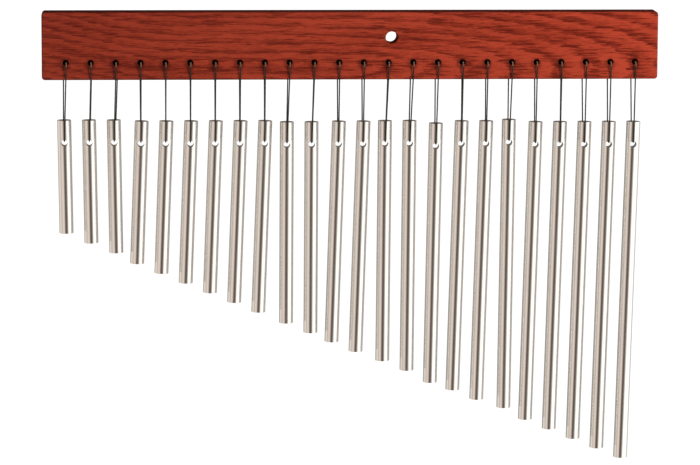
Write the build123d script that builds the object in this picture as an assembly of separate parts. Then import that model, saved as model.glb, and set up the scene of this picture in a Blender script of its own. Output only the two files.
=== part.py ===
from build123d import *
import math
import os

# Bar chimes: solid round bars of graded length, each hung on a loop of cord
# that goes through a hole near the lower edge of a wooden mantle.
# Millimetres. +X runs along the mantle towards the long bars, +Y towards its
# back, +Z up. The origin is the middle of the stand hole.

BAR_COUNT = 24

# Mantle, measured from its cord holes and its stand hole
HOLE_PITCH = 16.8
FIRST_HOLE_TO_END = 16.1
LAST_HOLE_TO_END = 15.7
MANTLE_THICKNESS = 19.0
TOP_ABOVE_STAND = 17.5
ROW_BELOW_STAND = 16.8
BOTTOM_BELOW_ROW = 11.7
MANTLE_CORNER = 2.2
MANTLE_EDGE = 1.2
CORD_HOLE_DIAMETER = 4.2

# Stand hole, at the point where the whole set balances, with eased rims
STAND_HOLE_DIAMETER = 8.2
STAND_HOLE_EASE = 0.65
STAND_FROM_FIRST_HOLE = 220.6

# Bars
BAR_DIAMETER = 9.525
SHORTEST_BAR = 77.5
BAR_STEP = 6.8
CROSS_HOLE_DIAMETER = 4.4
CROSS_HOLE_BELOW_TOP = 15.4
BAR_BELOW_MANTLE = 29.1

# Cord loops, each closed by a knot across the back of its hole in the mantle
CORD_DIAMETER = 0.9
CORD_CLEARANCE = 0.3
CORD_BEND = 1.0
KNOT_DIAMETER = 2.6
KNOT_LENGTH = 4.8
KNOT_SIDES = 6

# How the bars hang, in runs from the shortest: how many bars a run has, their
# lean in degrees and the sideways sway of their cross holes, both towards +X,
# and how much longer than the rest their loops are tied
RUN_COUNT = (3, 6, 2, 2, 2, 1, 2, 1, 5)
RUN_LEAN_DEGREES = (0.8, -2.1, -0.2, -1.8, -0.4, -1.0, -1.6, -0.6, -1.5)
RUN_SWAY = (-1.2, 0.2, -1.4, 0.1, -1.7, -0.6, 0.1, -0.9, 0.4)
RUN_LOOP_EXTRA = (-1.2, -0.4, 0.4, 0.1, -0.2, 1.6, 0.1, -0.8, 0.8)

row_z = -ROW_BELOW_STAND
bottom_z = row_z - BOTTOM_BELOW_ROW
first_hole_x = -STAND_FROM_FIRST_HOLE
hole_xs = [first_hole_x + HOLE_PITCH * index for index in range(BAR_COUNT)]
left_x = hole_xs[0] - FIRST_HOLE_TO_END
right_x = hole_xs[-1] + LAST_HOLE_TO_END

bar_radius = BAR_DIAMETER / 2
half_thickness = MANTLE_THICKNESS / 2
cord_side = CORD_DIAMETER * math.sqrt(math.pi) / 2
cord_offset = CORD_DIAMETER / 2 + CORD_CLEARANCE
knot_offset = KNOT_DIAMETER / 2 + CORD_CLEARANCE


def hanging_rows():
    rows = []
    for count, *hang in zip(RUN_COUNT, RUN_LEAN_DEGREES, RUN_SWAY, RUN_LOOP_EXTRA):
        rows += [hang] * count
    return rows


def make_stand_drill():
    # Along Z, and wider at the mantle's two faces
    radius = STAND_HOLE_DIAMETER / 2
    drill = Cylinder(radius, 2 * MANTLE_THICKNESS)
    rim = Cone(radius, radius + 2 * STAND_HOLE_EASE, 2 * STAND_HOLE_EASE)
    rim = Pos(0, 0, half_thickness) * rim
    return drill + rim + mirror(rim, Plane.XY)


def make_mantle():
    size_x = right_x - left_x
    size_z = TOP_ABOVE_STAND - bottom_z
    centre = Pos((left_x + right_x) / 2, 0, (TOP_ABOVE_STAND + bottom_z) / 2)
    board = centre * Box(size_x, MANTLE_THICKNESS, size_z)
    board = fillet(board.edges().filter_by(Axis.Y), MANTLE_CORNER)
    board = fillet(board.faces().filter_by(Axis.Y).edges(), MANTLE_EDGE)
    across = Rot(90, 0, 0)
    drills = [across * make_stand_drill()]
    for hole_x in hole_xs:
        drill = across * Cylinder(CORD_HOLE_DIAMETER / 2, 2 * MANTLE_THICKNESS)
        drills.append(Pos(hole_x, 0, row_z) * drill)
    return board - drills


def make_bar(length):
    # The cross hole's centre is at the origin
    bar = Cylinder(bar_radius, length, align=(Align.CENTER, Align.CENTER, Align.MAX))
    bar = Pos(0, 0, CROSS_HOLE_BELOW_TOP) * bar
    return bar - Rot(90, 0, 0) * Cylinder(CROSS_HOLE_DIAMETER / 2, 2 * BAR_DIAMETER)


def make_knot():
    # A barrel, along X, that swallows both ends of the cord and is too long for the hole
    outline = Plane.YZ * RegularPolygon(KNOT_DIAMETER / 2, KNOT_SIDES, rotation=180 / KNOT_SIDES)
    return extrude(outline, KNOT_LENGTH / 2, both=True)


def make_loop(drop):
    # In the YZ plane, with the mantle hole's centre at the origin. The cord's
    # section is a square with the round cord's area.
    through_mantle = cord_offset - CORD_HOLE_DIAMETER / 2
    through_bar = CROSS_HOLE_DIAMETER / 2 - cord_offset - drop
    edge_z = MANTLE_EDGE - BOTTOM_BELOW_ROW
    knot_exit = through_mantle - KNOT_DIAMETER / 4
    knot_z = through_mantle + CORD_CLEARANCE
    front_y = -half_thickness - cord_offset
    back_y = half_thickness + knot_offset
    bar_y = bar_radius + CORD_BEND
    route = [
        (0, back_y, knot_exit),
        (0, back_y, edge_z),
        (0, bar_y, through_bar),
        (0, -bar_y, through_bar),
        (0, front_y, edge_z),
        (0, front_y, through_mantle),
        (0, back_y, through_mantle),
    ]
    radii = [
        MANTLE_EDGE + knot_offset,
        CORD_BEND,
        CORD_BEND,
        MANTLE_EDGE + cord_offset,
        CORD_BEND,
    ]
    path = FilletPolyline(*route, radius=radii)
    start = Plane(path @ 0, x_dir=(1, 0, 0), z_dir=path % 0)
    section = start * Rectangle(cord_side, cord_side)
    tube = sweep(section, path)
    error = tube.volume / (section.area * path.length) - 1
    loop = tube + Pos(0, back_y, knot_z) * make_knot()
    return loop, path.length, radii, error


os.makedirs("parts", exist_ok=True)
export_step(make_mantle(), "parts/mantle.step")

for index, (lean, sway, extra) in enumerate(hanging_rows()):
    number = f"{index + 1:02d}"
    cross_z = bottom_z - BAR_BELOW_MANTLE - extra - CROSS_HOLE_BELOW_TOP
    cross_x = hole_xs[index] + sway
    drop = row_z - cross_z
    tilt = math.degrees(math.atan2(sway, drop))

    bar = make_bar(SHORTEST_BAR + BAR_STEP * index)
    bar = Pos(cross_x, 0, cross_z) * Rot(0, -lean, 0) * bar
    export_step(bar, f"parts/chime_bar_{number}.step")

    loop, length, radii, error = make_loop(math.hypot(sway, drop))
    loop = Pos(hole_xs[index], 0, row_z) * Rot(0, -tilt, 0) * loop
    export_step(loop, f"parts/cord_loop_{number}.step")
    print(f"loop {number}: {length:.1f} mm of cord, volume off by {error:.4f}")

print("bend radii of a loop:", [round(radius, 2) for radius in radii])
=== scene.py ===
import math

import bmesh
import bpy
from mathutils import Matrix, Vector


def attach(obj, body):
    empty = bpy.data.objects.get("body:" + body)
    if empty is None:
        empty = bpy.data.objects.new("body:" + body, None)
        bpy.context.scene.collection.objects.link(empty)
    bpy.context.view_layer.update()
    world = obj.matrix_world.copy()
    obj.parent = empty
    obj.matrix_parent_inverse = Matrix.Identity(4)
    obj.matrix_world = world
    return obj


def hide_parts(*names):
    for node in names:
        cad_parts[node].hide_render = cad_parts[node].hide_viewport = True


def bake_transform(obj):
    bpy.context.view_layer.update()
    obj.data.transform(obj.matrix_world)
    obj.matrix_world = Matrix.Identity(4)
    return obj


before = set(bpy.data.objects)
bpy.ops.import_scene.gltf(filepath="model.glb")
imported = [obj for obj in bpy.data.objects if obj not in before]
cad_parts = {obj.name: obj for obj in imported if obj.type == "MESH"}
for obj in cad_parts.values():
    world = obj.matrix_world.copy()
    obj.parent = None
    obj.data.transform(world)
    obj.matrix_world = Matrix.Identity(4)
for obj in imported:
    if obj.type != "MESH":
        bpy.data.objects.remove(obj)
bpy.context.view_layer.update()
mm = 0.001
tiny = 1e-6

# How the set hangs, in millimetres, from the short end
row = {
    "firstHoleX": -220.6,
    "pitch": 16.8,
    "holeZ": -16.8,
    "bottomZ": -28.5,
    "barBelowMantle": 29.1,
    "crossHoleBelowTop": 15.4,
    # runs of bars: how many, lean in degrees, sway and extra loop
    "runs": (
        (3, 0.8, -1.2, -1.2),
        (6, -2.1, 0.2, -0.4),
        (2, -0.2, -1.4, 0.4),
        (2, -1.8, 0.1, 0.1),
        (2, -0.4, -1.7, -0.2),
        (1, -1.0, -0.6, 1.6),
        (2, -1.6, 0.1, 0.1),
        (1, -0.6, -0.9, -0.8),
        (5, -1.5, 0.4, 0.8),
    ),
}


def hangBars():
    places = []
    for count, lean, sway, extra in row["runs"]:
        for _ in range(count):
            holeX = row["firstHoleX"] + row["pitch"] * len(places)
            crossZ = row["bottomZ"] - row["barBelowMantle"] - extra - row["crossHoleBelowTop"]
            places.append({
                "name": f"{len(places) + 1:02d}",
                "holeX": holeX,
                "crossX": holeX + sway,
                "crossZ": crossZ,
                "lean": lean,
                "drop": math.hypot(sway, row["holeZ"] - crossZ),
                "tilt": math.atan2(sway, row["holeZ"] - crossZ),
            })
    return places


hanging = hangBars()


# Camera, fitted to the mantle's corners and holes
camera = {
    "lens": 195.43,
    "sensor": 36,
    "yaw": 3.3,
    "pitch": 8.0,
    "roll": 0.189,
    "lookAt": (-27.43, 0.0, -134.491),
    "distance": 2600.66,
    "nearest": 0.05,
    "farthest": 60,
}


def placeCamera():
    yaw, pitch, roll = (math.radians(camera[name]) for name in ("yaw", "pitch", "roll"))
    level = math.cos(pitch)
    ahead = Vector((math.sin(yaw) * level, math.cos(yaw) * level, -math.sin(pitch)))
    side = Vector((math.cos(yaw), -math.sin(yaw), 0))
    above = side.cross(ahead)
    right = math.cos(roll) * side + math.sin(roll) * above
    up = math.cos(roll) * above - math.sin(roll) * side
    spot = Vector(camera["lookAt"]) * mm - ahead * camera["distance"] * mm
    bpy.ops.object.camera_add(location=spot)
    eye = bpy.context.active_object
    turn = Matrix((right, up, -ahead)).transposed().to_4x4()
    eye.matrix_world = Matrix.Translation(spot) @ turn
    eye.data.lens = camera["lens"]
    eye.data.sensor_width = camera["sensor"]
    eye.data.sensor_fit = "HORIZONTAL"
    eye.data.clip_start = camera["nearest"]
    eye.data.clip_end = camera["farthest"]
    bpy.context.scene.camera = eye


bpy.ops.object.select_all(action="DESELECT")
placeCamera()
print("camera placed")


# A value in a finish's nodes: sums written on it add Math nodes
class Tone:
    def __init__(self, finish, socket):
        self.finish = finish
        self.socket = socket

    def maths(self, operation, *values):
        return self.finish.node("ShaderNodeMath", {"operation": operation}, dict(enumerate(values)))

    def __add__(self, other):
        return self.maths("ADD", self, other)

    def __radd__(self, other):
        return self.maths("ADD", other, self)

    def __sub__(self, other):
        return self.maths("SUBTRACT", self, other)

    def __rsub__(self, other):
        return self.maths("SUBTRACT", other, self)

    def __mul__(self, other):
        return self.maths("MULTIPLY", self, other)

    def __rmul__(self, other):
        return self.maths("MULTIPLY", other, self)

    def __truediv__(self, other):
        return self.maths("DIVIDE", self, other)

    def __pow__(self, other):
        return self.maths("POWER", self, other)

    def rise(self, low, high):
        # 0 below low and 1 above high, with soft ends
        settings = {"interpolation_type": "SMOOTHSTEP"}
        return self.finish.node("ShaderNodeMapRange", settings, {0: self, 1: low, 2: high})


# A node material, or the world, and the one way nodes are added to it
class Finish:
    def __init__(self, owner):
        self.owner = owner
        owner.use_nodes = True
        self.tree = owner.node_tree
        self.tree.nodes.clear()

    def node(self, kind, settings=None, sockets=None, out=0):
        made = self.tree.nodes.new(kind)
        for name, value in (settings or {}).items():
            if name == "stops":
                self.setStops(made.color_ramp, value)
            else:
                setattr(made, name, value)
        for name, value in (sockets or {}).items():
            if isinstance(value, Tone):
                self.tree.links.new(value.socket, made.inputs[name])
            else:
                made.inputs[name].default_value = value
        return Tone(self, made.outputs[out]) if made.outputs else made

    def setStops(self, ramp, stops):
        while len(ramp.elements) < len(stops):
            ramp.elements.new(1.0)
        for element, (position, colour) in zip(ramp.elements, stops):
            element.position = position
            element.color = (*colour, 1)

    def place(self):
        return self.node("ShaderNodeTexCoord", out=3)

    def split(self, vector):
        parts = self.node("ShaderNodeSeparateXYZ", None, {0: vector})
        return [Tone(self, output) for output in parts.socket.node.outputs]

    def noise(self, place, grain, detail, roughness=0.5):
        # the grain says how fine the noise is along each axis
        settings = {"operation": "MULTIPLY"}
        stretched = self.node("ShaderNodeVectorMath", settings, {0: place, 1: grain})
        sockets = {"Vector": stretched, "Scale": 1.0, "Detail": detail, "Roughness": roughness}
        return self.node("ShaderNodeTexNoise", None, sockets)

    def mixed(self, factor, first, second):
        sockets = {0: factor}
        for slot, colour in ((6, first), (7, second)):
            sockets[slot] = colour if isinstance(colour, Tone) else (*colour, 1)
        return self.node("ShaderNodeMix", {"data_type": "RGBA"}, sockets, out=2)

    def scaled(self, colour, factor):
        settings = {"operation": "SCALE"}
        return self.node("ShaderNodeVectorMath", settings, {0: colour, "Scale": factor})

    def bumped(self, height, strength, distance):
        sockets = {"Height": height, "Strength": strength, "Distance": distance}
        return self.node("ShaderNodeBump", None, sockets)

    def shownPlain(self):
        # 1 for what is seen directly, in gloss or through a clear piece, and 0 for other light
        rays = self.node("ShaderNodeLightPath").socket.node.outputs
        names = ("Is Camera Ray", "Is Glossy Ray", "Is Transmission Ray")
        direct, glossy, clear = (Tone(self, rays[name]) for name in names)
        seen = direct + glossy + clear
        return seen.maths("MINIMUM", seen, 1.0)

    def output(self, shader):
        self.node("ShaderNodeOutputMaterial", None, {"Surface": shader})

    def surface(self, sockets):
        self.output(self.node("ShaderNodeBsdfPrincipled", None, sockets))


def newFinish(name):
    return Finish(bpy.data.materials.new(name))


# Red-stained oak: growth rings cut by the board, long pores, thin satin lacquer
oak = {
    "ringWidth": 0.0056,
    "pithZ": -0.021,
    "pithDepth": 0.010,
    "tipStart": -0.03,  # right of this the pith sinks
    "tipSlope": 0.2,
    "tipSoftness": 0.06,
    "leftBend": -0.165,  # left of this the rings climb
    "leftSlope": 0.22,
    "leftSoftness": 0.05,
    "waver": 0.009,
    "ripple": 0.0034,
    "feather": 0.006,
    "waverGrain": (6, 30, 22),
    "rippleGrain": (34, 150, 130),
    "featherGrain": (90, 700, 1000),
    "poreGrain": (46, 640, 980),
    "fibreGrain": (190, 1100, 1300),
    "patchGrain": (12, 40, 60),
    "ringTones": ((0.0, 0.8), (0.12, 1.0), (0.4, 0.55), (0.75, 0.04), (0.93, 0.0), (1.0, 0.8)),
    "paleStain": (0.385, 0.0435, 0.018),
    "midStain": (0.2, 0.0165, 0.006),
    "poreStain": (0.078, 0.005, 0.0012),
    "contrast": 0.82,
    "contrastAlong": 0.85,
    "ringStain": 0.66,
    "fibreStain": 2.2,
    "patchStain": 1.3,
    "evenStain": 0.14,
    "poreFill": 0.82,
    # edgeShade and holeShade are painted shade: how dark the narrow faces and the hole walls are
    # drawn
    "edgeShade": 0.3,
    "holeShade": 0.7,
    # darker to the left: partly a darker stain, partly painted light falloff from the lamp at the
    # right
    "stainAndLightFadeAlong": 0.85,
    # grime and painted shadow: a darkening round each cord hole, shifted left and down where the
    # cord's shadow falls
    "grimeAndShadow": 0.42,
    "grimeAndShadowLeft": 0.0005,
    "grimeAndShadowBelow": 0.0012,
    "roughness": 0.45,
    "poreRoughness": 0.2,
    "narrowRoughness": 0.95,
    "lacquer": 0.07,
}


def distance(first, second):
    return (first * first + second * second) ** 0.5


def stainOak():
    wood = newFinish("redStainedOak")
    place = wood.place()
    x, y, z = wood.split(place)

    # rings round a pith that sinks to the right, so their cut ends in arches there
    waver = wood.noise(place, oak["waverGrain"], 2.0) - 0.5
    ripple = wood.noise(place, oak["rippleGrain"], 3.0) - 0.5
    feather = wood.noise(place, oak["featherGrain"], 3.0, 0.6) - 0.5
    climb = oak["leftBend"] - x
    climb = climb.maths("SMOOTH_MAX", climb, 0.0, oak["leftSoftness"]) * oak["leftSlope"]
    upright = z - oak["pithZ"] - climb + waver * oak["waver"]
    sink = x - oak["tipStart"]
    sink = sink.maths("SMOOTH_MAX", sink, 0.0, oak["tipSoftness"]) * oak["tipSlope"]
    radius = distance(upright, sink + oak["pithDepth"] + y)
    ring = (radius + ripple * oak["ripple"] + feather * oak["feather"]) / oak["ringWidth"]
    stops = [(position, (tone, tone, tone)) for position, tone in oak["ringTones"]]
    band = wood.node("ShaderNodeValToRGB", {"stops": stops}, {0: ring.maths("FRACT", ring)})

    # pores crowd into the dark part of each ring, and fibres lie everywhere
    pores = wood.noise(place, oak["poreGrain"], 4.0, 0.62)
    streaks = pores.rise(0.59 - 0.18 * band, 0.7 - 0.16 * band)
    fibres = wood.noise(place, oak["fibreGrain"], 3.0, 0.65)
    patch = wood.noise(place, oak["patchGrain"], 2.0)
    contrast = oak["contrast"] + oak["contrastAlong"] * x
    tone = oak["ringStain"] * band * contrast + (fibres - 0.5) * oak["fibreStain"]
    tone = tone + (patch - 0.5) * oak["patchStain"] + oak["evenStain"]
    tone = tone.maths("MINIMUM", tone.maths("MAXIMUM", tone, 0.0), 1.0)
    stain = wood.mixed(tone, oak["paleStain"], oak["midStain"])
    stain = wood.mixed(streaks * contrast * oak["poreFill"], stain, oak["poreStain"])

    # painted shade on the narrow faces and, lighter, on the hole walls; the left end is darker too
    across = wood.split(wood.node("ShaderNodeNewGeometry", out=1))[1]
    flat = across.maths("ABSOLUTE", across).rise(0.35, 0.95)
    cell = (x - row["firstHoleX"] * mm) / (row["pitch"] * mm) + 0.5
    beside = (cell.maths("FRACT", cell) - 0.5) * (row["pitch"] * mm)
    below = z - row["holeZ"] * mm
    inCordHole = 1 - distance(beside, below).rise(0.0021, 0.0024)
    inStandHole = 1 - distance(x, z).rise(0.0044, 0.0049)
    inHoles = inCordHole + inStandHole
    narrow = oak["edgeShade"] + (oak["holeShade"] - oak["edgeShade"]) * inHoles
    # grime and painted shadow of the cord, shifted below and left of its hole
    fromGrimeAndShadow = distance(beside + oak["grimeAndShadowLeft"], below + oak["grimeAndShadowBelow"])
    grimeAndShadow = oak["grimeAndShadow"] * (1 - fromGrimeAndShadow.rise(0.0022, 0.005)) * (1 - inHoles)
    shade = (narrow + (1 - narrow) * flat) * (1 - grimeAndShadow)
    # the left-to-right brightening here is partly stain and partly painted light falloff
    stain = wood.scaled(stain, shade * (1 + oak["stainAndLightFadeAlong"] * x))

    faceRoughness = oak["roughness"] + oak["poreRoughness"] * streaks
    wood.surface({
        "Base Color": stain,
        "Roughness": oak["narrowRoughness"] + (faceRoughness - oak["narrowRoughness"]) * flat,
        "Specular IOR Level": 0.1,
        "Coat Weight": oak["lacquer"] * (1 - streaks) * flat,
        "Coat Roughness": 0.3,
        "Normal": wood.bumped(1 - 0.8 * streaks - 0.3 * fibres, 0.3, 0.0002),
    })
    return wood.owner


# Drawn aluminium: fine lines along the bar, handled smudges
metal = {
    "colour": (0.92, 0.905, 0.885),
    "shadeInLines": (0.8, 0.775, 0.74),
    "lineGrain": (2600, 2600, 9),
    "wideGrain": (700, 700, 4),
    "smudgeGrain": (60, 60, 34),
    "roughness": 0.14,
    "lineRoughness": 0.08,
    "smudgeRoughness": 0.07,
}


def drawAluminium():
    bright = newFinish("drawnAluminium")
    place = bright.node("ShaderNodeAttribute", {"attribute_name": "barPlace"}, out=1)
    lines = bright.noise(place, metal["lineGrain"], 3.0, 0.65)
    wide = bright.noise(place, metal["wideGrain"], 2.0)
    smudge = bright.noise(place, metal["smudgeGrain"], 3.0, 0.6)
    scored = lines.rise(0.5, 0.75)
    handled = smudge.rise(0.48, 0.72)
    roughness = metal["roughness"] + metal["lineRoughness"] * scored
    dull = 0.45 * scored + 0.2 * handled
    bright.surface({
        "Base Color": bright.mixed(dull, metal["colour"], metal["shadeInLines"]),
        "Metallic": 1.0,
        "Roughness": roughness + metal["smudgeRoughness"] * handled,
        "Normal": bright.bumped(lines * 0.6 + wide * 0.4, 0.05, 0.00004),
    })
    return bright.owner


# Dark waxed twine: fibres follow each strand
twine = {
    "colour": (0.015, 0.012, 0.009),
    "wornColour": (0.09, 0.07, 0.044),
    # painted highlight: the pale colour given to the cord's front where it bends out of its hole
    "bendHighlightColour": (0.27, 0.155, 0.09),
    "highlightBelowHole": 0.6,
    "fibreGrain": (5, 30, 1),
    "wearGrain": (1.2, 3, 1),
    "roughness": 0.62,
}


def waxTwine():
    thread = newFinish("darkTwine")
    along = thread.node("ShaderNodeUVMap", {"uv_map": "strandMap"})
    fibres = thread.noise(along, twine["fibreGrain"], 3.0, 0.6)
    worn = thread.noise(along, twine["wearGrain"], 2.0)
    light = fibres.rise(0.42, 0.72) * (0.35 + worn.rise(0.4, 0.7) * 0.65)
    colour = thread.mixed(light, twine["colour"], twine["wornColour"])
    # painted highlight: pale on the cord's front where it bends out of its hole towards the lamp
    x, y, z = thread.split(thread.place())
    fromBend = z - (row["holeZ"] - twine["highlightBelowHole"]) * mm
    atBend = 1 - fromBend.maths("ABSOLUTE", fromBend).rise(0.001, 0.0028)
    bendHighlight = atBend * (-1 * y).rise(0.0088, 0.0098)
    colour = thread.mixed(bendHighlight * (0.35 + 0.65 * fibres), colour, twine["bendHighlightColour"])
    thread.surface({
        "Base Color": colour,
        "Roughness": twine["roughness"] + 0.2 * light,
        "Normal": thread.bumped(fibres, 0.5, 0.00005),
    })
    return thread.owner


oakFinish = stainOak()
metalFinish = drawAluminium()
twineFinish = waxTwine()
print("finishes made")


# Small helpers for modelling by hand
def pickEdges(piece, wanted):
    # in edit mode: selects the edges whose two ends pass the test
    shape = bmesh.from_edit_mesh(piece.data)
    for face in shape.faces:
        face.select = False
    for edge in shape.edges:
        edge.select = wanted(edge.verts[0].co, edge.verts[1].co)
    shape.select_flush_mode()
    bmesh.update_edit_mesh(piece.data)


def pickPiece(piece):
    bpy.ops.object.select_all(action="DESELECT")
    bpy.context.view_layer.objects.active = piece
    piece.select_set(True)


def startEditing(piece):
    pickPiece(piece)
    bpy.ops.object.mode_set(mode="EDIT")
    bpy.ops.mesh.select_mode(type="EDGE")


def stopEditing():
    bpy.ops.object.mode_set(mode="OBJECT")


def settlePlace():
    # leaves the picked piece at the origin, with its place in its mesh
    bpy.ops.object.transform_apply(location=True, rotation=True, scale=True)


def cutAcross(place, normal):
    bpy.ops.mesh.select_all(action="SELECT")
    bpy.ops.mesh.bisect(plane_co=place, plane_no=normal)


def makeDrill(radius, depth, sides, flare):
    # lies along Y; its ends widen, so that it leaves an eased rim at depth / 2
    bpy.ops.object.select_all(action="DESELECT")
    reach = depth / 2 + flare
    bpy.ops.mesh.primitive_cylinder_add(
        vertices=sides, radius=radius, depth=2 * reach, rotation=(math.pi / 2, 0, 0))
    drill = bpy.context.active_object
    settlePlace()
    startEditing(drill)
    for way in (-1, 1):
        cutAcross((0, way * (depth / 2 - flare), 0), (0, 1, 0))
    pickEdges(drill, lambda a, b: min(abs(a.y), abs(b.y)) > reach - tiny)
    wider = 1 + 2 * flare / radius
    bpy.ops.transform.resize(value=(wider, 1, wider), center_override=(0, 0, 0))
    stopEditing()
    return drill


def drillAt(drill, x, z):
    copy = drill.copy()
    copy.data = drill.data.copy()
    copy.data.transform(Matrix.Translation((x, 0, z)))
    bpy.context.collection.objects.link(copy)
    return copy


def drillOut(piece, drills):
    bpy.ops.object.select_all(action="DESELECT")
    for drill in drills:
        drill.select_set(True)
    bpy.context.view_layer.objects.active = drills[0]
    if len(drills) > 1:
        bpy.ops.object.join()
    bpy.context.view_layer.objects.active = piece
    cut = piece.modifiers.new("drilled", "BOOLEAN")
    cut.operation = "DIFFERENCE"
    cut.solver = "EXACT"
    cut.object = drills[0]
    bpy.ops.object.modifier_apply(modifier=cut.name)
    bpy.data.objects.remove(drills[0], do_unlink=True)


def finishPiece(piece, degrees, finish):
    pickPiece(piece)
    bpy.ops.object.shade_smooth_by_angle(angle=math.radians(degrees))
    weighted = piece.modifiers.new("evenShading", "WEIGHTED_NORMAL")
    weighted.keep_sharp = True
    weighted.weight = 100
    bpy.ops.object.modifier_apply(modifier=weighted.name)
    piece.data.materials.clear()
    piece.data.materials.append(finish)


# Mantle board with its cord holes and stand hole
mantle = {
    "left": -236.7,
    "right": 181.5,
    "top": 17.5,
    "thickness": 19.0,
    "corner": 2.2,
    "cornerSteps": 8,
    "edge": 1.2,
    "edgeSteps": 5,
    "cordHole": 4.2,
    "cordHoleEase": 0.25,
    "cordHoleSides": 40,
    "standHole": 8.2,
    "standHoleEase": 0.65,
    "standHoleSides": 72,
    "smoothAngle": 32,
}


def modelMantle():
    left, right, top = mantle["left"], mantle["right"], mantle["top"]
    bottom, depth = row["bottomZ"], mantle["thickness"] * mm
    bpy.ops.object.select_all(action="DESELECT")
    bpy.ops.mesh.primitive_cube_add(
        size=1, location=Vector((left + right, 0, top + bottom)) * mm / 2)
    board = bpy.context.active_object
    board.name = "mantleBoard"
    board.scale = Vector((right - left, mantle["thickness"], top - bottom)) * mm
    settlePlace()

    def onFace(point):
        return abs(abs(point.y) - depth / 2) < tiny

    startEditing(board)
    pickEdges(board, lambda a, b: abs(a.y - b.y) > depth / 2)
    bpy.ops.mesh.bevel(
        offset=mantle["corner"] * mm, segments=mantle["cornerSteps"], profile=0.5)
    pickEdges(board, lambda a, b: abs(a.y - b.y) < tiny and onFace(a))
    bpy.ops.mesh.bevel(offset=mantle["edge"] * mm, segments=mantle["edgeSteps"], profile=0.5)
    stopEditing()

    standDrill, cordDrill = (
        makeDrill(mantle[hole] * mm / 2, depth, mantle[hole + "Sides"], mantle[hole + "Ease"] * mm)
        for hole in ("standHole", "cordHole"))
    cordDrills = [drillAt(cordDrill, place["holeX"] * mm, row["holeZ"] * mm) for place in hanging]
    bpy.data.objects.remove(cordDrill, do_unlink=True)
    drillOut(board, [standDrill] + cordDrills)
    finishPiece(board, mantle["smoothAngle"], oakFinish)
    return board


board = modelMantle()
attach(board, "mantle")
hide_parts("mantle")
print("mantle modelled:", len(board.data.polygons), "faces")


# One bar with the middle of its cross hole at the origin, then 24 lengths of it
bar = {
    "diameter": 9.525,
    "shortest": 77.5,
    "step": 6.8,
    "sides": 96,
    "endEase": 0.25,
    "crossHole": 4.4,
    "holeEase": 0.2,
    "holeSides": 48,
    "easeSteps": 2,
    "rings": (4.0, -4.0, -30.0),  # these keep the cut for the hole short
    "lengthenBelow": -40.0,
    "smoothAngle": 30,
    "patternApart": 0.11,  # so that no two bars have the same lines
}


def modelBar():
    radius = bar["diameter"] * mm / 2
    length = bar["shortest"] * mm
    middle = row["crossHoleBelowTop"] * mm - length / 2
    bpy.ops.object.select_all(action="DESELECT")
    bpy.ops.mesh.primitive_cylinder_add(
        vertices=bar["sides"], radius=radius, depth=length, location=(0, 0, middle))
    rod = bpy.context.active_object
    settlePlace()

    startEditing(rod)
    pickEdges(rod, lambda a, b: abs(a.z - b.z) < tiny)
    bpy.ops.mesh.bevel(offset=bar["endEase"] * mm, segments=bar["easeSteps"], profile=0.5)
    for height in bar["rings"]:
        cutAcross((0, 0, height * mm), (0, 0, 1))
    stopEditing()
    hole, ease = bar["crossHole"] * mm / 2, bar["holeEase"] * mm
    drillOut(rod, [makeDrill(hole, 3 * bar["diameter"] * mm, bar["holeSides"], ease)])

    def onRim(point):
        return abs(math.hypot(point.x, point.z) - hole) < 2 * tiny and abs(point.y) > radius * 0.7

    startEditing(rod)
    pickEdges(rod, lambda a, b: onRim(a) and onRim(b) and a.y * b.y > 0)
    bpy.ops.mesh.bevel(offset=ease, segments=bar["easeSteps"], profile=0.5)
    stopEditing()
    finishPiece(rod, bar["smoothAngle"], metalFinish)
    return rod


def cutBars():
    first = modelBar()
    for index, place in enumerate(hanging):
        rod = first.copy()
        rod.data = first.data.copy()
        rod.name = "chimeRod_" + place["name"]
        rod.data.name = rod.name
        bpy.context.collection.objects.link(rod)
        longer = bar["step"] * mm * index
        apart = Vector((bar["patternApart"] * index, 0, 0))
        marks = rod.data.attributes.new("barPlace", "FLOAT_VECTOR", "POINT")
        for point, mark in zip(rod.data.vertices, marks.data):
            if point.co.z < bar["lengthenBelow"] * mm:
                point.co.z -= longer
            mark.vector = point.co + apart
        turn = Matrix.Rotation(math.radians(-place["lean"]), 4, "Y")
        spot = Vector((place["crossX"], 0, place["crossZ"])) * mm
        rod.data.transform(Matrix.Translation(spot) @ turn)
        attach(rod, "chime_bar_" + place["name"])
        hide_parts("chime_bar_" + place["name"])
    bpy.data.objects.remove(first, do_unlink=True)


cutBars()
print("bars cut:", len(hanging))


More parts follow.
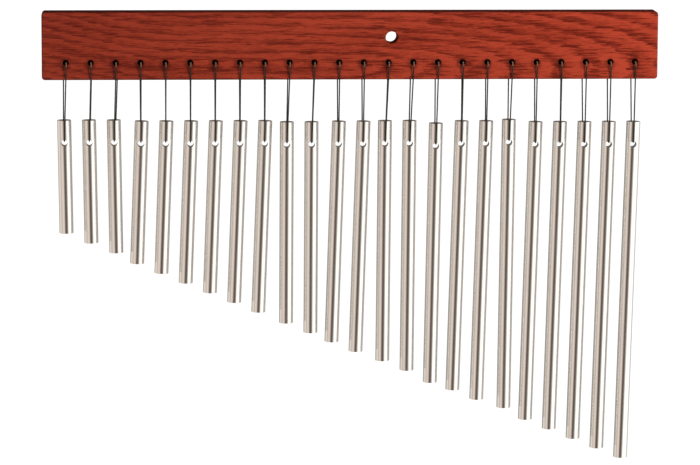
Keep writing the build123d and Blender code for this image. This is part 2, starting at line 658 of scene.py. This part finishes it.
# Cord loops: three strands laid round the loop's line, and a barrel knot
cord = {
    "diameter": 1.05,  # over the strands' ridges
    "strands": 3,
    "strandSides": 7,
    "strandShare": 0.475,  # a strand's thickness in the cord's
    "strandMapWidth": 0.34,
    "lay": 3.4,  # length of one full twist
    "ringStep": 0.42,
    "frontY": -10.25,
    "backY": 11.1,
    "barY": 5.7625,
    "edgeZ": -10.5,  # the mantle's lower edge, below the hole's middle
    "throughMantleZ": -1.35,
    "throughBarZ": 1.45,  # above the cross hole's middle
    "corner": 2.4,  # from a bend to the points that hold it
    "afterEdge": 5.4,
    "knotZ": -1.0,
    "knotRadius": 1.05,
    "knotTurns": 7,
    "knotPitch": 0.72,
    "knotSteps": 12,
    "tail": 1.6,
    "bendLength": 26.0,  # how far below the mantle a swung cord is bent
    # the front leg's bulge out of its hole, from the leg's front and the cord in the hole
    "bulge": (
        (0.42, -0.9, -2.6),
        (0.5, -1.2, 0.7),
        (0.45, 0.6, 1.6),
        (0.2, 4.5, 0.8),
    ),
    # loops whose back leg leaves the knot to one side, and how far
    "backShift": {
        "01": -1.6, "02": 0.6, "03": 1.4, "04": -0.2, "05": 0.3, "06": 0.3, "07": 0.3, "08": 0.3,
        "09": 0.5, "11": 1.0, "14": 1.3, "17": 1.4, "18": 0.9, "20": 0.9, "21": 2.2, "23": 0.6,
    },
}


def cordLine(name, points):
    curve = bpy.data.curves.new(name, "CURVE")
    curve.dimensions = "3D"
    curve.resolution_u = 24
    spline = curve.splines.new("NURBS")
    spline.points.add(len(points) - 1)
    for point, place in zip(spline.points, points):
        point.co = (*place, 1)
    spline.order_u = 3
    spline.use_endpoint_u = True
    holder = bpy.data.objects.new(name, curve)
    bare = bpy.data.meshes.new_from_object(holder)
    line = [point.co.copy() for point in bare.vertices]
    bpy.data.meshes.remove(bare)
    bpy.data.curves.remove(curve)
    return line


def evenLine(line, step):
    # the same line, with points an even step apart
    kept = [line[0]]
    left = step
    for a, b in zip(line, line[1:]):
        reach = (b - a).length
        while reach > left:
            a = a + (b - a) * (left / reach)
            kept.append(a)
            reach = (b - a).length
            left = step
        left -= reach
    return kept + [line[-1]]


def layStrands(line, points, faces, marks):
    # strands wound round a line; marks are the places on the strand map
    thick = cord["diameter"] / 2 * cord["strandShare"]
    offset = cord["diameter"] / 2 - thick
    sides = cord["strandSides"]
    steps = evenLine(line, cord["ringStep"])
    for number in range(cord["strands"]):
        start = len(points)
        travelled = 0.0
        normal = Vector((1, 0, 0))
        for index, spot in enumerate(steps):
            before, after = steps[max(index - 1, 0)], steps[min(index + 1, len(steps) - 1)]
            ahead = (after - before).normalized()
            normal = (normal - ahead * normal.dot(ahead)).normalized()
            other = ahead.cross(normal)
            travelled += (spot - before).length
            twist = math.tau * (travelled / cord["lay"] + number / cord["strands"])
            middle = spot + offset * (math.cos(twist) * normal + math.sin(twist) * other)
            for turn in range(sides):
                angle = math.tau * turn / sides
                points.append(middle + thick * (math.cos(angle) * normal + math.sin(angle) * other))
                marks.append((travelled, (turn / sides + number) * cord["strandMapWidth"]))
        for index in range(len(steps) - 1):
            for turn in range(sides):
                a = start + index * sides + turn
                b = start + index * sides + (turn + 1) % sides
                faces.append((a, b, b + sides, a + sides))
        last = start + (len(steps) - 1) * sides
        faces.append(tuple(start + turn for turn in reversed(range(sides))))
        faces.append(tuple(last + turn for turn in range(sides)))


def loopRoute(drop, shift):
    # in the loop's own plane; the pairs beside a corner keep the pulled legs straight
    back, front, barSide = cord["backY"], cord["frontY"], cord["barY"]
    edge, hole = cord["edgeZ"], cord["throughMantleZ"]
    corner, after = cord["corner"], cord["afterEdge"]
    low = cord["throughBarZ"] - drop
    lean = (back - barSide) / (edge - low)
    frontLean = (front + barSide) / (edge - low)
    spots = [
        (shift, back, cord["knotZ"]),
        (shift, back, edge + corner),
        (shift, back, edge),
        (0.95 * shift, back - after * lean, edge - after),
        (0.55 * shift, barSide + corner * lean, low + corner),
        (0.5 * shift, barSide, low),
        (0.3 * shift, barSide - corner, low),
        (0, corner - barSide, low),
        (0, -barSide, low),
        (0, corner * frontLean - barSide, low + corner),
        (0.3, front - after * frontLean, edge - after),
        (0.35, front, edge),
        (0.38, front - 0.25, edge + corner),
    ]
    spots += [(x, front + y, hole + z) for x, y, z in cord["bulge"]]
    spots += [(0, back - 2.2, hole), (0, back, hole)]
    return [Vector(spot) for spot in spots]


def knotRoute():
    turns, steps, radius = cord["knotTurns"], cord["knotSteps"], cord["knotRadius"]
    spots = []
    for index in range(steps * turns + 1):
        angle = math.tau * index / steps
        spots.append(Vector((
            cord["knotPitch"] * (index / steps - turns / 2),
            cord["backY"] + radius * math.sin(angle),
            cord["knotZ"] + radius * math.cos(angle))))
    return spots


def tailRoute():
    # through the knot's middle, with a tail at each side
    back, knot, tail = cord["backY"], cord["knotZ"], cord["tail"]
    right = [
        (1.6, back, knot),
        (2.3, back + 0.1, knot + 0.1),
        (2.4 + 0.5 * tail, back + 0.3, knot + 0.7),
        (2.4 + tail, back + 0.2, knot + 0.6),
    ]
    left = [(-x, y, z) for x, y, z in reversed(right)]
    return [Vector(spot) for spot in left + right]


def tieLoops():
    for place in hanging:
        points, faces, marks = [], [], []
        name = "cordLoop_" + place["name"]
        shift = cord["backShift"].get(place["name"], 0)
        for route in (loopRoute(place["drop"], shift), knotRoute(), tailRoute()):
            layStrands(cordLine(name, route), points, faces, marks)
        mesh = bpy.data.meshes.new(name)
        mesh.from_pydata(points, [], faces)
        strandMap = mesh.uv_layers.new(name="strandMap")
        for corner in mesh.loops:
            strandMap.data[corner.index].uv = marks[corner.vertex_index]
        mesh.shade_smooth()
        loop = bpy.data.objects.new(name, mesh)
        bpy.context.collection.objects.link(loop)
        turn = Matrix.Rotation(-place["tilt"], 4, "Y")
        spot = Vector((place["holeX"], 0, row["holeZ"])) * mm
        mesh.transform(Matrix.Translation(spot) @ turn @ Matrix.Scale(mm, 4))
        mesh.materials.append(twineFinish)
        "cord_loop_" + place["name"]
        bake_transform(loop)
        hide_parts("cord_loop_" + place["name"])


tieLoops()
print("loops tied")


# Studio: pale floor, white world, soft lamps, and a surround that only the gloss sees
studio = {
    "floorZ": -0.95,
    "floorReach": 14.0,
    "floorTone": 0.86,
    "floorGlow": 1.25,
    "floorGlowShare": 0.8,
    "ambient": 0.38,
    "surroundRadius": 2.2,
    "surroundTop": 1.3,
    "ceilingDimming": 0.88,
    # from behind, round the left side to the front, and round the right side to behind
    "surroundTones": (
        (0.0, (0.14, 0.12, 0.105)),
        (0.085, (0.2, 0.18, 0.16)),
        (0.135, (0.6, 0.56, 0.51)),
        (0.18, (0.72, 0.66, 0.61)),
        (0.245, (0.85, 0.77, 0.69)),
        (0.292, (0.54, 0.47, 0.41)),
        (0.345, (0.77, 0.67, 0.6)),
        (0.395, (0.82, 0.71, 0.64)),
        (0.456, (0.12, 0.095, 0.075)),
        (0.521, (0.12, 0.095, 0.075)),
        (0.566, (0.5, 0.46, 0.42)),
        (0.604, (1.3, 1.27, 1.22)),
        (0.765, (1.3, 1.27, 1.22)),
        (0.815, (0.74, 0.72, 0.68)),
        (0.85, (0.62, 0.6, 0.57)),
        (0.88, (0.54, 0.52, 0.49)),
        (0.92, (0.2, 0.18, 0.16)),
        (1.0, (0.14, 0.12, 0.105)),
    ),
    # name, place, what it points at, size and power
    "lamps": (
        ("keyLamp", (1.15, -1.25, 0.5), (0.02, 0, -0.06), 0.45, 24.0),
        ("fillLamp", (-1.3, -1.6, 0.5), (-0.05, 0, -0.1), 1.2, 4.0),
        ("backLamp", (0.5, 1.9, -0.05), (0, 0, -0.05), 1.2, 14.0),
    ),
}


def lightWorld():
    world = bpy.data.worlds.new("whiteRoom")
    bpy.context.scene.world = world
    room = Finish(world)
    shown = room.shownPlain()
    strength = shown + (1 - shown) * studio["ambient"]
    sockets = {"Color": (1, 1, 1, 1), "Strength": strength}
    light = room.node("ShaderNodeBackground", None, sockets)
    room.node("ShaderNodeOutputWorld", None, {"Surface": light})


def layFloor():
    bpy.ops.object.select_all(action="DESELECT")
    bpy.ops.mesh.primitive_circle_add(
        vertices=96, radius=studio["floorReach"], fill_type="NGON",
        location=(0, 0, studio["floorZ"]))
    floor = bpy.context.active_object
    floor.name = "paleFloor"
    pale = newFinish("paleFloor")
    tone, glow = studio["floorTone"], studio["floorGlow"]
    matt = pale.node("ShaderNodeBsdfDiffuse", None, {"Color": (tone, tone, tone, 1)})
    white = pale.node("ShaderNodeEmission", None, {"Color": (1, 1, 1, 1), "Strength": glow})
    share = pale.shownPlain() * studio["floorGlowShare"]
    pale.output(pale.node("ShaderNodeMixShader", None, {0: share, 1: matt, 2: white}))
    floor.data.materials.append(pale.owner)


def standSurround():
    low, high = studio["floorZ"] + 0.01, studio["surroundTop"]
    bpy.ops.object.select_all(action="DESELECT")
    bpy.ops.mesh.primitive_cylinder_add(
        vertices=128, radius=studio["surroundRadius"], depth=high - low,
        location=(0, 0, (high + low) / 2))
    wall = bpy.context.active_object
    wall.name = "studioSurround"
    settlePlace()
    paint = newFinish("studioSurround")
    x, y, z = paint.split(paint.place())
    around = x.maths("ARCTAN2", x, -1 * y) / math.tau + 0.5
    tone = paint.node("ShaderNodeValToRGB", {"stops": studio["surroundTones"]}, {0: around})
    strength = 1 - studio["ceilingDimming"] * z.rise(0.35, 0.9)
    paint.output(paint.node("ShaderNodeEmission", None, {"Color": tone, "Strength": strength}))
    wall.data.materials.append(paint.owner)
    wall.visible_camera = False
    wall.visible_diffuse = False
    wall.visible_shadow = False
    wall.visible_transmission = False


def hangLamps():
    for name, spot, target, size, power in studio["lamps"]:
        bpy.ops.object.light_add(type="AREA", location=spot)
        lamp = bpy.context.active_object
        lamp.name = name
        aim = Vector(target) - Vector(spot)
        lamp.rotation_euler = aim.to_track_quat("-Z", "Y").to_euler()
        lamp.data.size = size
        lamp.data.energy = power
        lamp.visible_glossy = False


lightWorld()
layFloor()
standSurround()
hangLamps()
bpy.context.scene.view_settings.view_transform = "Standard"
print("studio lit")
